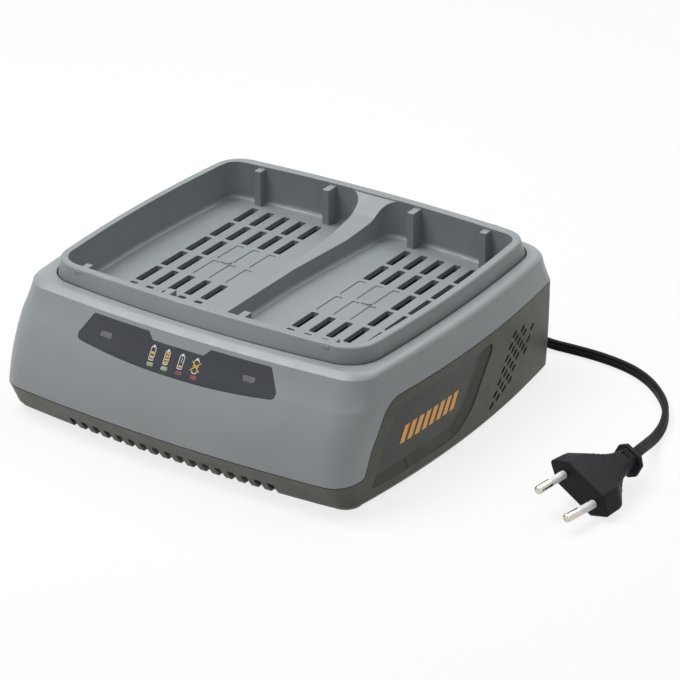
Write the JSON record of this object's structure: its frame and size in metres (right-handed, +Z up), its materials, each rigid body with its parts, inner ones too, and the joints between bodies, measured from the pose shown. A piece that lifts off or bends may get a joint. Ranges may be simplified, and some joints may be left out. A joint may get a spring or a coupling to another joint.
{
  "type": "battery charger",
  "caption": "Mains charger with two open battery bays side by side, slotted bay floors, an indicator window in its front, a side fan and a flat two-core lead with its plug.",
  "frame": {"origin": "on the surface that the charger stands on, under the middle of its casing", "axes": "+Z up, the front with its indicator window faces -Y, +X to the right seen from the front"},
  "size_m": [0.2877, 0.2014, 0.0688],
  "materials": {
    "lead_wire": "insulation",
    "light_guide": "clear, frosted",
    "tray_grey": "fine texture",
    "screw_steel": "zinc plated",
    "can_sleeve": "shrunk sleeve",
    "package_black": "moulded",
    "terminal_black": "moulded",
    "board": "solder mask",
    "fan_black": "moulded",
    "copper_winding": "enamelled wire",
    "ferrite": "fired",
    "contact_metal": "nickel plated",
    "lamp": "clear",
    "lens": "satin, dark tinted",
    "socket_white": "moulded",
    "film_capacitor": "moulded",
    "casing_dark": "fine texture",
    "cord_black": "satin",
    "fuse_glass": "clear",
    "sleeve_white": "moulded",
    "heat_sink": "extruded",
    "rubber": "matt",
    "inlay_dark": "fine texture",
    "casing_grey": "fine texture"
  },
  "bodies": {
    "casing": {"bay_leads_left": "lead_wire", "bay_leads_right": "lead_wire", "bay_light_guides": "light_guide", "bay_tray": "tray_grey", "board_screws": "screw_steel", "bulk_capacitor": "can_sleeve", "clamp_screws": "screw_steel", "control_chip": "package_black", "cord_clamp": "terminal_black", "display_board": "board", "display_leads": "lead_wire", "display_screws": "screw_steel", "fan_frame": "fan_black", "fan_leads": "lead_wire", "fan_stator": "copper_winding", "filter_choke": "ferrite", "fuse_clips": "contact_metal", "housing_screws": "screw_steel", "indicator_lamps": "lamp", "indicator_lens": "lens", "lead_sockets": "socket_white", "line_capacitor": "film_capacitor", "lower_shell": "casing_dark", "main_board": "board", "mains_cord": "cord_black", "mains_fuse": "fuse_glass", "mains_leads": "lead_wire", "output_capacitors": "can_sleeve", "output_choke": "copper_winding", "pin_sleeves": "sleeve_white", "plug_body": "cord_black", "plug_pins": "contact_metal", "power_transistors": "package_black", "primary_heat_sink": "heat_sink", "rubber_feet": "rubber", "secondary_heat_sink": "heat_sink", "side_inlay_left": "inlay_dark", "side_inlay_right": "inlay_dark", "status_light_guides": "light_guide", "strain_relief": "cord_black", "terminal_blades_left": "contact_metal", "terminal_blades_right": "contact_metal", "terminal_block_left": "terminal_black", "terminal_block_right": "terminal_black", "transformer_coil": "copper_winding", "transformer_core": "ferrite", "tray_screws": "screw_steel", "upper_shell": "casing_grey"},
    "fan": {"fan_rotor": "fan_black", "fan_shaft": "screw_steel"}
  },
  "joints": [
    {"name": "fan_spin", "type": "hinge", "parent": "casing", "child": "fan", "pos_m": [0.0832, 0.048, 0.024], "axis": [1, 0, 0], "continuous": true}
  ]
}
